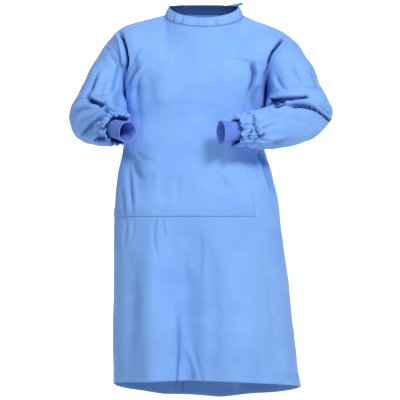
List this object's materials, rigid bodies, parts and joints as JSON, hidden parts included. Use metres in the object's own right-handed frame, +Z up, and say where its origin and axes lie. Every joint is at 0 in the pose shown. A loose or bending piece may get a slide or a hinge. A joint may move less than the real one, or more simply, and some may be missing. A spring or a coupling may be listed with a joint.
{
  "type": "surgical gown",
  "caption": "Long-sleeved surgical gown, worn and hollow, with a stand collar, reinforced front and forearms, rib cuffs and ties at the back.",
  "frame": {"origin": "middle of the neck, level with the points where the shoulder seams meet the collar, where the wearer holds the gown up", "axes": "+Z up, front of the gown towards -Y, +X towards the wearer's left"},
  "size_m": [0.8252, 0.4997, 1.2759],
  "materials": {
    "cloth": "matt blue polycotton poplin",
    "knit": "matt blue rib knit"
  },
  "bodies": {
    "root": {"front_panel": "cloth", "front_reinforcement": "cloth", "back_left": "cloth", "back_right": "cloth", "collar": "cloth", "sleeve_left": "cloth", "sleeve_right": "cloth", "sleeve_reinforcement_left": "cloth", "sleeve_reinforcement_right": "cloth", "waist_tie_left": "cloth", "waist_tie_right": "cloth", "waist_tie_end_left": "cloth", "waist_tie_end_right": "cloth", "waist_knot": "cloth", "neck_tie_left": "cloth", "neck_tie_right": "cloth", "neck_knot": "cloth", "cuff_left": "knit", "cuff_right": "knit"}
  },
  "joints": []
}
